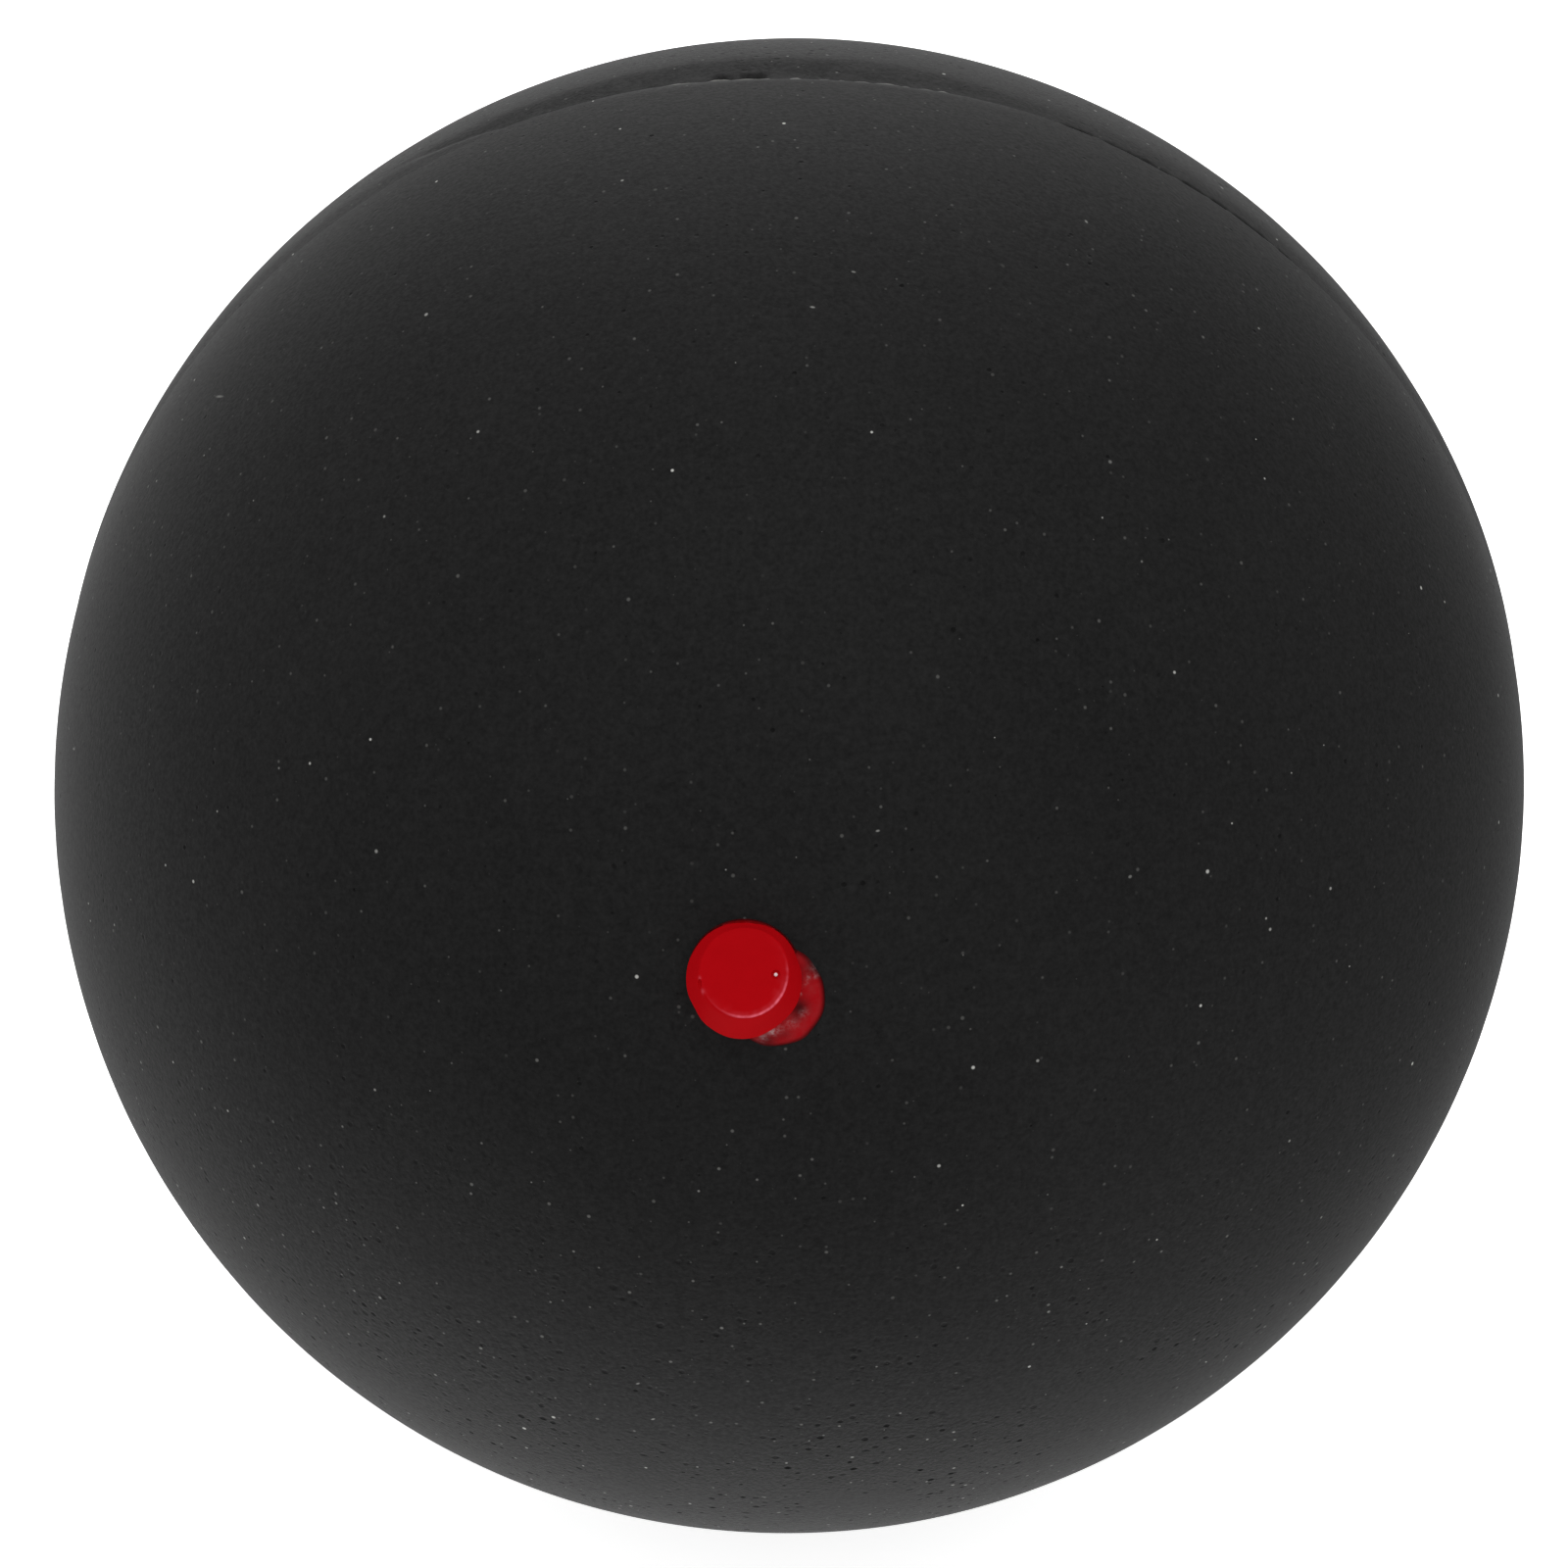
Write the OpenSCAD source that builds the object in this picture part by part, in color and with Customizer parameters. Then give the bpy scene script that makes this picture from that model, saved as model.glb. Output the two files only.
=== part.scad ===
// Squash ball with a raised red speed dot.
// Two moulded rubber half shells are cemented edge to edge round sealed air.
// The origin is the centre of the ball, +Z is up, and the seam lies in the XZ plane.
// The half that carries the dot faces -Y.

/* [Ball] */
// Diameter of the finished ball
ball_d = 40; // [36:0.5:44]
// Thickness of the moulded rubber wall
wall_t = 5; // [4:0.25:7]

/* [Seam] */
// Thickness of the cured cement film between the two halves
seam_film_t = 0.15; // [0.05:0.05:0.3]
// How far the cement stops below the buffed edges, which leaves a fine crack
crack_depth = 0.25; // [0.1:0.05:0.5]
// How far the rear half stands proud of the front half
mould_step = 0.06; // [0.02:0.02:0.2]
// Depth of the light bevel round the rim of the front half
front_bevel_depth = 0.06; // [0.02:0.02:0.16]
// How far that bevel reaches from the seam
front_bevel_w = 0.12; // [0.08:0.02:0.2]
// Depth of the light bevel round the rim of the rear half
rear_bevel_depth = 0.08; // [0.04:0.02:0.16]
// How far that bevel reaches from the seam
rear_bevel_w = 0.12; // [0.08:0.02:0.2]

/* [Flash trim] */
// Depth of the groove buffed at the top of the seam, where the moulding flash was trimmed
trim_depth = 0.3; // [0.15:0.05:0.5]
// How far the groove reaches from the seam into the rear half
trim_w = 1.6; // [0.8:0.1:2.5]
// How much wider than the ball the trimming tool swept, which sets how soon the groove fades
trim_sweep = 2.9; // [1:0.1:6]
// Angle of the middle of the groove from the top of the ball, less than zero to the left
trim_turn = -5; // [-20:1:20]

/* [Dot stem] */
// Diameter of the hidden stem that anchors the dot in the wall
stem_d = 1.6; // [1.2:0.1:1.8]
// Depth of the stem below the surface of the ball
stem_depth = 1.5; // [1:0.1:2.5]
// Thickness of the bonding film round the stem and under the head
bond_t = 0.1; // [0.05:0.05:0.2]
// How far the film under the head shows round its foot
bond_margin = 0.04; // [0.02:0.02:0.2]
// Angle of the dot above the pole of the front half
dot_lift = 10.2; // [0:0.2:20]
// Angle of the dot to the right of that pole, less than zero where it lies to the left
dot_turn = -1; // [-10:0.2:10]

/* [Dot head] */
// Diameter of the head at its widest, where its side starts to slope
head_d = 2.8; // [2.6:0.1:3.4]
// Diameter of the dished top of the head
head_top_d = 2.1; // [1.6:0.05:2.4]
// Height of the head at its axis
head_h = 0.6; // [0.4:0.05:1]
// Angle at which the top of the head slants upwards from square to its axis
head_slant = 12; // [0:1:20]
// Depth of the shallow dish in the top of the head
dish_depth = 0.06; // [0.02:0.01:0.12]
// How far the neck between the head and the ball stands in from the head's widest part
neck_inset = 0.2; // [0.1:0.05:0.3]
// Angle at which the head leans upwards from its stem
head_lean = 15; // [0:1:20]
// How far the foot of the head stands above the surface of the ball
head_rise = 0.35; // [0.1:0.05:0.5]
// How far the head is pushed to the left of its stem
head_left = 0.35; // [0:0.05:0.4]
// How far the head is pushed upwards from its stem
head_up = 0.25; // [0:0.05:0.3]

/* [Dot bead] */
// Diameter of the low bead of bonding rubber squeezed out beside the head
bead_d = 2.4; // [2.2:0.1:3]
// Height of that bead above the surface of the ball
bead_h = 0.35; // [0.15:0.05:0.5]
// How far the bead lies to the right of the stem
bead_right = 0.35; // [0.1:0.05:0.6]
// How far the bead lies below the stem
bead_down = 0.15; // [0:0.05:0.4]

/* [Hidden] */
// The circles are fine enough for the film, which is a tenth of a millimetre thick
$fn = 180;

rubber_black = [0.13, 0.13, 0.13];
cement_black = [0.07, 0.07, 0.07];
dot_red = [0.64, 0.04, 0.06];
bond_red = [0.5, 0.08, 0.08];

// One overrun serves every cut
overrun = wall_t;

rear_r = ball_d / 2;
front_r = rear_r - mould_step;
inner_r = rear_r - wall_t;
half_film = seam_film_t / 2;

// The cement stops below the deepest buffed edge
film_r = front_r - max(front_bevel_depth, rear_bevel_depth, trim_depth) - crack_depth;

// Radius of the sphere of which a cap has the given width and height
function cap_sphere_r(width, height) = (width * width / 4 + height * height) / (2 * height);

// Radius at which a sphere is met at a height above its middle
function ring_r(sphere_r, height) = sqrt(sphere_r * sphere_r - height * height);

neck_r = head_d / 2 - neck_inset;

// The film reaches past the foot of the leaning neck
bond_r = neck_r / cos(head_lean) + head_rise * tan(head_lean) + bond_margin;

// The side of the head is a cone. Its slanting top is an oval, pushed up from the cone's axis.
side_slope = (head_d - head_top_d) / 2 / head_h;
cone_h = head_d / 2 / side_slope;
top_up = head_top_d / 2 * tan(head_slant) * side_slope;

dish_r = cap_sphere_r(head_top_d, dish_depth);
bead_r = cap_sphere_r(bead_d, bead_h);

// Turns a shape made along +Z towards the front of the ball
module face_front() {
    rotate([90, 0, 0])
        children();
}

// Turns a shape made along +Z towards the rear of the ball
module face_rear() {
    rotate([-90, 0, 0])
        children();
}

// Ring that cuts a bevel: full depth at the seam, and out through the surface at its reach
module bevel_cutter(outer_r, depth, reach) {
    rise = ring_r(outer_r, half_film + reach) - outer_r + depth;
    far = half_film + (depth + overrun) * reach / rise;
    rotate_extrude()
        polygon([
            [outer_r - depth, 0],
            [outer_r + overrun, 0],
            [outer_r + overrun, far],
            [outer_r - depth, half_film]
        ]);
}

// Half of the hollow ball, with its rim bevelled and on the seam's cement film
module bowl(outer_r, bevel_depth, bevel_w) {
    cut_r = outer_r + overrun;
    difference() {
        sphere(r = outer_r);
        sphere(r = inner_r);
        translate([-cut_r, -cut_r, -cut_r])
            cube([2 * cut_r, 2 * cut_r, cut_r + half_film]);
        bevel_cutter(outer_r, bevel_depth, bevel_w);
    }
}

// Wider ring set low, so that it trims the rear half's edge at the top of the seam only
module trim_cutter() {
    rotate([0, trim_turn, 0])
        translate([0, 0, -trim_sweep - trim_depth])
            face_rear()
                bevel_cutter(rear_r + trim_sweep + trim_depth, trim_depth, trim_w);
}

// Puts a shape on the surface of the front half where the dot is, with +Z straight out
module at_dot() {
    rotate([90 - dot_lift, 0, dot_turn])
        translate([0, 0, front_r])
            children();
}

// The dot's hidden stem, or with a gap the socket that holds it and its film
module dot_stem(gap) {
    at_dot()
        translate([0, 0, -stem_depth - gap])
            cylinder(h = stem_depth + gap + bond_t + head_rise, d = stem_d + 2 * gap);
}

// Puts shapes on the slanting top of the head, with +Z straight out of it
module at_head_top() {
    translate([0, 0, head_h])
        rotate([-head_slant, 0, 0])
            children();
}

// Leaning head and neck of the dot before they are fitted to the ball
module dot_head() {
    at_dot()
        translate([-head_left, head_up, head_rise])
            rotate([-head_lean, 0, 0])
                difference() {
                    rotate_extrude()
                        polygon([
                            [0, -head_d],
                            [neck_r, -head_d],
                            [neck_r, 0],
                            [head_d / 2, 0],
                            [0, cone_h]
                        ]);
                    at_head_top() {
                        translate([-head_d, -head_d, 0])
                            cube([2 * head_d, 2 * head_d, cone_h]);
                        translate([0, top_up, dish_r - dish_depth])
                            sphere(r = dish_r);
                    }
                }
}

// The whole dot, standing on its bonding film
module dot_plug() {
    dot_stem(0);
    difference() {
        dot_head();
        sphere(r = front_r + bond_t);
    }
}

// Bonding film in the socket and on the surface of the ball under the head
module dot_film() {
    intersection() {
        union() {
            dot_stem(bond_t);
            at_dot()
                translate([-head_left, head_up, -stem_depth])
                    cylinder(h = stem_depth + overrun, r = bond_r);
        }
        sphere(r = front_r + bond_t);
    }
}

// Low dome of bonding rubber beside the head
module dot_bead() {
    at_dot()
        translate([bead_right, -bead_down, bead_h - bead_r])
            sphere(r = bead_r);
}

module front_half_shell() {
    color(rubber_black)
        difference() {
            face_front()
                bowl(front_r, front_bevel_depth, front_bevel_w);
            dot_stem(bond_t);
        }
}

module rear_half_shell() {
    color(rubber_black)
        difference() {
            face_rear()
                bowl(rear_r, rear_bevel_depth, rear_bevel_w);
            trim_cutter();
        }
}

module seam_cement() {
    color(cement_black)
        face_rear()
            translate([0, 0, -half_film])
                difference() {
                    cylinder(h = seam_film_t, r = film_r);
                    translate([0, 0, -overrun])
                        cylinder(h = seam_film_t + 2 * overrun, r = inner_r);
                }
}

module speed_dot() {
    color(dot_red)
        dot_plug();
}

// Film in the socket and under the head, and the bead beside it, as one cured piece
module dot_bond() {
    color(bond_red)
        difference() {
            union() {
                dot_film();
                dot_bead();
            }
            difference() {
                sphere(r = front_r);
                dot_stem(bond_t);
            }
            dot_plug();
        }
}

front_half_shell();
rear_half_shell();
seam_cement();
speed_dot();
dot_bond();
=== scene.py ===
import math

import bpy
from mathutils import Matrix, Vector, noise


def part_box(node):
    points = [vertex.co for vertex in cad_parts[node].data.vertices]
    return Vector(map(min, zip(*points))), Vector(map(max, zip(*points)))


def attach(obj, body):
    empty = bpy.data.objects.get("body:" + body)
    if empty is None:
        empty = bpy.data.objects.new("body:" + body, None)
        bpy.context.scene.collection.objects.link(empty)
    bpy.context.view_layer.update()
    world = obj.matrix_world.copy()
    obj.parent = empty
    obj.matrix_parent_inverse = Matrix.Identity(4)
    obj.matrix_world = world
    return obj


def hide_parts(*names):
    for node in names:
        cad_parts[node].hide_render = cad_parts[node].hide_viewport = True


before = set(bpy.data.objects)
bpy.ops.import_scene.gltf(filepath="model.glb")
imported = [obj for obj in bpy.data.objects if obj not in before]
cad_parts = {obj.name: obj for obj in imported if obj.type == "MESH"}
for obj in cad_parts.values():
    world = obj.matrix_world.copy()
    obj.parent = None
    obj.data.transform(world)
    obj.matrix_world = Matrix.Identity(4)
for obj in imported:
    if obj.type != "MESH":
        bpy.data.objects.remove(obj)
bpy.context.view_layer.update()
mm = 0.001

# The camera
# A close-up lens 16 cm from the ball's centre. It looks down on the half with the dot, so that
# the seam shows as an arc just inside the top of the outline.
view_azimuth = math.radians(1.1)
view_elevation = math.radians(23.9)
view_distance = 160 * mm
# The lens gives the ball its size in a frame 1600 pixels wide, where its centre lies a little
# to the right of the middle and below it
frame_px = 1600
lens_px = 6068
shift_right_px = 5.1
shift_down_px = 2.8
sensor_mm = 36

to_camera = Vector((
    math.sin(view_azimuth) * math.cos(view_elevation),
    -math.cos(view_azimuth) * math.cos(view_elevation),
    math.sin(view_elevation),
))
image_right = Vector((math.cos(view_azimuth), math.sin(view_azimuth), 0))
image_up = to_camera.cross(image_right)
px_at_ball = view_distance / lens_px
bpy.ops.object.camera_add(
    location=to_camera * view_distance
    - image_right * shift_right_px * px_at_ball
    + image_up * shift_down_px * px_at_ball,
    rotation=Matrix((image_right, image_up, to_camera)).transposed().to_euler(),
)
camera = bpy.context.object
camera.data.sensor_width = sensor_mm
camera.data.lens = lens_px / frame_px * sensor_mm
camera.data.clip_start = 10 * mm
bpy.context.scene.camera = camera

# The two half shells
# Each is a bowl of black butyl rubber, compression moulded in a polished steel cavity. Their
# rims are buffed rough, brushed with rubber solution and pressed together in a second mould,
# which leaves the rear half standing a little proud. The front half has a blind hole for the dot.
front_r = -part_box("front_half_shell")[0].y
rear_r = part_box("rear_half_shell")[1].y
half_film = -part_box("seam_cement")[0].y
film_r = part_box("seam_cement")[1].x
wall = 5 * mm
inner_r = rear_r - wall
outer_steps = 180
inner_steps = 24
turn_steps = 1440
# Rings of points near the rim, by their distance from it, where its shape is fine
rim_rings_mm = (0.03, 0.06, 0.09, 0.13, 0.18, 0.25, 0.35, 0.5, 0.7, 0.9, 1.15, 1.4, 1.65)
rim_skin = 0.25 * mm
seat_gap = 0.03 * mm
merge_within = 1e-6

# The joint is shut tight all round, but for a ragged crack to the right of its top. It wanders
# a little to either side, and the mould's step fades out over the rear half's edge.
shut_share = 0.02
shut_reach = 0.4 * mm
step_reach = 1.1 * mm
wander = 0.08 * mm
wander_size = 2.2 * mm
crack_from = math.radians(20)
crack_opens = math.radians(2)
crack_to = math.radians(44)
crack_closes = math.radians(8)
crack_ragged_size = 0.45 * mm
crack_least, crack_mean, crack_spread = 0.1, 0.36, 0.8
round_depth = 0.05 * mm
round_width = 0.09 * mm
# At its top the rear half was cut back along the joint when the moulding flash was trimmed off.
# On the left the wheel left the joint, and cut a little behind it before it ran out.
trim_depth = 0.3 * mm
trim_width = 1.6 * mm
trim_sweep = 2.9 * mm
trim_turn = math.radians(-5)
trim_leaves = math.radians(-20)
trim_drift = 4.6 * mm
trim_wall_slope = 0.8
trim_softness = 0.05 * mm
trim_unevenness = 0.03 * mm
trim_ragged_size = 0.9 * mm
# The wheel also rubbed down the top of the front half's rim
rubbed_depth = 0.16 * mm
rubbed_at = math.radians(1.5)
rubbed_turn = math.radians(10.5)
rubbed_reach = 0.5 * mm
# It turned up a thin broken lip there. Each piece has its angle from the top and its half length
# in degrees, and how much of the lip is left.
lip_pieces = (
    (-8.1, 1.2, 0.5),
    (-5.3, 0.9, 1),
    (-2.85, 1.5, 1),
    (-0.7, 0.35, 0.8),
    (0.25, 0.55, 0.9),
    (2.45, 0.5, 0.55),
    (3.8, 0.3, 0.5),
    (5.2, 0.7, 0.6),
    (7.2, 0.9, 0.8),
    (8.6, 0.3, 0.5),
    (10.2, 0.5, 0.55),
    (11.4, 0.4, 0.5),
)
lip_height = 0.045 * mm
lip_flat = 0.05 * mm
lip_width = 0.12 * mm
lip_ragged_size = 0.35 * mm
lip_mean, lip_spread = 0.95, 0.7
# It also tore short slits right behind the lip, each with its angle, half length and share of
# the full depth
slits = ((-5.3, 0.45, 1), (-4.6, 0.15, 0.5), (-3.3, 0.5, 0.8), (-2.35, 0.35, 1), (2.35, 0.3, 0.2))
slit_depth = 0.35 * mm
slit_reach = 0.29 * mm
slit_width = 0.06 * mm
# The surface is even to a hundredth of a millimetre
unevenness = 0.008 * mm
unevenness_size = 6 * mm
# Each octave of all this raggedness is half as wide as the last one, and half as strong
octave_falloff = 1
octave_step = 2

# Play and storage leave the ball slightly out of round, narrow across the camera's view
roundness = 0.9835
narrow_tilt = math.radians(9.4)
narrow_axis = image_right * math.cos(narrow_tilt) - image_up * math.sin(narrow_tilt)
out_of_round = Matrix.Scale(roundness, 4, narrow_axis)


def select_points(piece, wanted):
    """Selects, in edit mode, the points whose place passes the test."""
    bpy.ops.object.mode_set(mode="EDIT")
    bpy.ops.mesh.select_mode(type="VERT")
    bpy.ops.mesh.select_all(action="DESELECT")
    bpy.ops.object.mode_set(mode="OBJECT")
    for point in piece.data.vertices:
        point.select = wanted(point.co)
    bpy.ops.object.mode_set(mode="EDIT")


def turn_outwards():
    """Points the faces of the mesh in edit mode outwards, and leaves edit mode."""
    bpy.ops.mesh.select_all(action="SELECT")
    bpy.ops.mesh.normals_make_consistent(inside=False)
    bpy.ops.object.mode_set(mode="OBJECT")


def smooth_step(low, high, value):
    """Share that goes smoothly from 0 at one value to 1 at another."""
    share = min(max((value - low) / (high - low), 0), 1)
    return share * share * (3 - 2 * share)


def bowl(name, outer_r, side, face_rings):
    """Draws a quarter of a bowl's section in the XY plane and spins it about the seam's axis."""
    bpy.ops.object.select_all(action="DESELECT")
    bpy.ops.mesh.primitive_circle_add(vertices=outer_steps, radius=outer_r)
    piece = bpy.context.object
    piece.name = name
    bpy.ops.object.mode_set(mode="EDIT")
    bpy.ops.mesh.primitive_circle_add(vertices=inner_steps, radius=inner_r)
    rim_cut = ((0, side * half_film, 0), (0, side, 0))
    axis_cut = ((0, 0, 0), (1, 0, 0))
    for start, towards in (rim_cut, axis_cut):
        bpy.ops.mesh.select_all(action="SELECT")
        bpy.ops.mesh.bisect(plane_co=start, plane_no=towards, clear_inner=True, threshold=merge_within)
    for reach_mm in rim_rings_mm:
        ring_y = side * (half_film + reach_mm * mm)
        select_points(piece, lambda co: co.length > outer_r - wall / 2)
        bpy.ops.mesh.bisect(plane_co=(0, ring_y, 0), plane_no=(0, side, 0), threshold=merge_within)
    select_points(piece, lambda co: abs(co.y) < half_film + merge_within)
    bpy.ops.mesh.edge_face_add()
    for ring_x in face_rings:
        select_points(piece, lambda co: abs(co.y) < half_film + merge_within)
        bpy.ops.mesh.bisect(plane_co=(ring_x, 0, 0), plane_no=(1, 0, 0), threshold=merge_within)
    bpy.ops.object.mode_set(mode="OBJECT")
    bpy.ops.object.modifier_add(type="SCREW")
    turning = piece.modifiers[-1]
    turning.axis = "Y"
    turning.steps = turning.render_steps = turn_steps
    turning.use_merge_vertices = True
    turning.merge_threshold = merge_within
    bpy.ops.object.modifier_apply(modifier=turning.name)
    bpy.ops.object.mode_set(mode="EDIT")
    bpy.ops.mesh.select_all(action="SELECT")
    bpy.ops.mesh.remove_doubles(threshold=merge_within)
    turn_outwards()
    return piece


def ragged_at(place, octaves):
    """Noise about 0 at a place."""
    return noise.fractal(place, octave_falloff, octave_step, octaves)


def ragged_along(turn, size, octaves):
    """Noise about 0 at an angle from the top of the seam, for lumps of a size along it."""
    return ragged_at(Vector((turn * rear_r / size, 0, 0)), octaves)


def by_seam(reach, out_to):
    """Share that falls from 1 at the seam to 0 at a distance from it."""
    return max(1 - reach / out_to, 0) ** 2


def soft_share(apart, size):
    """Share that fades from 1 at the middle of a mark to nothing well past its size."""
    return math.exp(-((apart / size) ** 2))


def crack_share(turn):
    """How far the joint gapes at an angle from its top: 0 shut, and 1 as wide as the film."""
    ragged = ragged_along(turn, crack_ragged_size, octaves=4)
    gape = smooth_step(crack_from, crack_from + crack_opens, turn)
    gape *= smooth_step(crack_to, crack_to - crack_closes, turn)
    return min(shut_share + gape * max(crack_mean + crack_spread * ragged, crack_least), 1)


def trimmed_radius(turn, reach):
    """Radius to which the trimming wheel cut. It swept wider than the ball, and was set low."""
    from_middle = turn - trim_turn
    if abs(from_middle) > math.pi / 2:
        return rear_r
    past_wall = reach - trim_drift * max(trim_leaves - turn, 0)
    rise = max(past_wall * trim_depth / trim_width, -past_wall * trim_wall_slope)
    low_by = trim_sweep + trim_depth
    swept = rear_r + trim_sweep + rise
    across = low_by * math.sin(from_middle)
    return math.sqrt(swept * swept - across * across) - low_by * math.cos(from_middle)


def along_seam(turn, at, long):
    """Share of a mark that runs along the seam: 1 at its middle, and 0 soon past its ends."""
    return math.exp(-(((math.degrees(turn) - at) / long) ** 4))


def lip_share(turn):
    """How far the lip stands up at an angle from the top of the seam."""
    ragged = lip_mean + lip_spread * ragged_along(turn, lip_ragged_size, octaves=3)
    left = max(share * along_seam(turn, at, long) for at, long, share in lip_pieces)
    return min(max(left * ragged, 0), 1)


def slit_share(turn):
    """How deep the slits behind the lip are at an angle from the top of the seam."""
    return max(share * along_seam(turn, at, long) for at, long, share in slits)


def rear_radius(radius, turn, reach, place):
    """Fades out the mould's step, and cuts the groove and the slits along the rear half's edge."""
    radius -= (rear_r - front_r) * by_seam(reach, step_reach)
    ragged = ragged_at(place / trim_ragged_size, octaves=3)
    trimmed = trimmed_radius(turn, reach) + trim_unevenness * ragged
    blend = math.sqrt((radius - trimmed) ** 2 + trim_softness ** 2)
    slit = slit_share(turn) * soft_share(reach - slit_reach, slit_width)
    return (radius + trimmed - blend) / 2 - slit_depth * slit


def front_radius(radius, turn, reach, lip):
    """Rubs down the front half's edge, and raises the lip on it."""
    rubbed = soft_share(turn - rubbed_at, rubbed_turn) * by_seam(reach, rubbed_reach)
    return radius + lip_height * lip - rubbed_depth * rubbed


def shape_bowl(piece, outer_r, side):
    """Closes and rounds the rim of a bowl, gives it the marks of its making, and keeps where its lip is
    pale: buffed rubber and a painted highlight.
    """
    buffed = piece.data.attributes.new("buffed", "FLOAT", "POINT")
    for index, point in enumerate(piece.data.vertices):
        place = point.co.copy()
        if place.length < outer_r - rim_skin or Vector((place.x, place.z)).length < merge_within:
            continue
        turn = math.atan2(place.x, place.z)
        reach = abs(place.y) - half_film
        radius = math.sqrt(outer_r ** 2 - place.y ** 2)
        gape = crack_share(turn)
        radius -= round_depth * gape * by_seam(reach, round_width)
        # The front rim stays on its side of the cement, and the rear one is drawn up to it
        joint_y = -half_film + wander * ragged_along(turn, wander_size, octaves=4)
        if side > 0:
            joint_y += 2 * half_film * gape
            radius = rear_radius(radius, turn, reach, place)
        else:
            lip = lip_share(turn) * smooth_step(lip_width, lip_flat, reach)
            radius = front_radius(radius, turn, reach, lip)
            # The ring on the rim's face follows its edge, and ends there the lip's pale, which is buffed
            # rubber and a painted highlight
            if place.length < outer_r - rubbed_depth:
                radius -= lip_flat
            else:
                buffed.data[index].value = lip
        place.x = radius * math.sin(turn)
        place.z = radius * math.cos(turn)
        place.y += (joint_y - side * half_film) * by_seam(reach, shut_reach)
        uneven = ragged_at(place / unevenness_size, octaves=2)
        point.co = place * (1 + uneven * unevenness / outer_r)


# The face of each rim has a ring of points where the cement ends, and the front one has another
# below its rubbed edge
cement_ends = film_r + seat_gap
front_half = bowl("front_half", front_r, -1, (cement_ends, front_r - rubbed_depth - lip_flat))
rear_half = bowl("rear_half", rear_r, 1, (cement_ends,))
shape_bowl(front_half, front_r, -1)
shape_bowl(rear_half, rear_r, 1)

# The blind hole for the dot, drilled square to the surface of the front half
dot_lift = math.radians(10.2)
dot_turn = math.radians(-1)
dot_place = (
    Matrix.Rotation(dot_turn, 4, "Z")
    @ Matrix.Rotation(math.pi / 2 - dot_lift, 4, "X")
    @ Matrix.Translation((0, 0, front_r))
)
stem_r = 0.8 * mm
stem_depth = 1.5 * mm
bond_t = 0.1 * mm
hole_sides = 64
hole_mouth = 1 * mm


def peg(radius, low, high):
    """A round peg along the dot's stem, between two heights above the surface of the ball."""
    bpy.ops.object.select_all(action="DESELECT")
    bpy.ops.mesh.primitive_cylinder_add(
        vertices=hole_sides, radius=radius, depth=high - low, location=(0, 0, (low + high) / 2)
    )
    piece = bpy.context.object
    put_down(piece, dot_place)
    return piece


def put_down(piece, place=Matrix.Identity(4)):
    """Moves a mesh to its place, with its object left at the origin."""
    piece.data.transform(place @ piece.matrix_basis)
    piece.matrix_basis = Matrix.Identity(4)


def pick(piece):
    """Makes a piece the only one selected, and the active one."""
    bpy.ops.object.select_all(action="DESELECT")
    bpy.context.view_layer.objects.active = piece
    piece.select_set(True)


def cut_with(piece, tool, way="DIFFERENCE"):
    """Cuts a piece with a tool, or joins the tool to it, and clears the tool away."""
    pick(piece)
    bpy.ops.object.modifier_add(type="BOOLEAN")
    cutting = piece.modifiers[-1]
    cutting.operation = way
    cutting.solver = "MANIFOLD"
    cutting.object = tool
    bpy.ops.object.modifier_apply(modifier=cutting.name)
    bpy.data.objects.remove(tool)


cut_with(front_half, peg(stem_r + bond_t, -stem_depth - bond_t, hole_mouth))


def linear(hex_colour):
    """An sRGB hex colour as the linear colour that a shader wants."""
    parts = [int(hex_colour[i:i + 2], 16) / 255 for i in (1, 3, 5)]
    return [part / 12.92 if part <= 0.04045 else ((part + 0.055) / 1.055) ** 2.4 for part in parts] + [1]


def add(material, kind, inputs=(), **settings):
    """Adds a node with its settings. An input takes a value, an output, or a node for its first."""
    node = material.node_tree.nodes.new(kind)
    for name, value in settings.items():
        setattr(node, name, value)
    for socket, value in dict(inputs).items():
        if isinstance(value, bpy.types.Node):
            value = value.outputs[0]
        if isinstance(value, bpy.types.NodeSocket):
            material.node_tree.links.new(value, node.inputs[socket])
        else:
            node.inputs[socket].default_value = value
    return node


def per_metre(size_mm):
    """Scale of a pattern whose cells are this many millimetres across."""
    return 1 / (size_mm * mm)


def new_material(name):
    """A material with an empty tree."""
    material = bpy.data.materials.new(name)
    material.use_nodes = True
    material.node_tree.nodes.clear()
    return material


def spots(material, place, cell_mm, radius_mm, rarity, hardness=0.5):
    """Round spots of mixed sizes and strengths on 0. A high rarity makes most of them small."""
    cells = add(material, "ShaderNodeTexVoronoi", {"Vector": place, "Scale": per_metre(cell_mm)})
    chance = add(material, "ShaderNodeSeparateColor", {"Color": cells.outputs["Color"]})
    size = add(material, "ShaderNodeMath", {0: chance, 1: rarity}, operation="POWER")
    edge = add(material, "ShaderNodeMath", {0: size, 1: radius_mm / cell_mm}, operation="MULTIPLY")
    core = add(material, "ShaderNodeMath", {0: edge, 1: hardness}, operation="MULTIPLY")
    return add(material, "ShaderNodeMapRange", {
        "Value": cells.outputs["Distance"],
        "From Min": core,
        "From Max": edge,
        "To Min": chance.outputs[1],
        "To Max": 0,
    })


# The sockets by which a Mix node blends colours: its share, the colour under, the colour over
# it, and what comes out
share_in, under_in, over_in, colour_out = 0, 6, 7, 2


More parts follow.
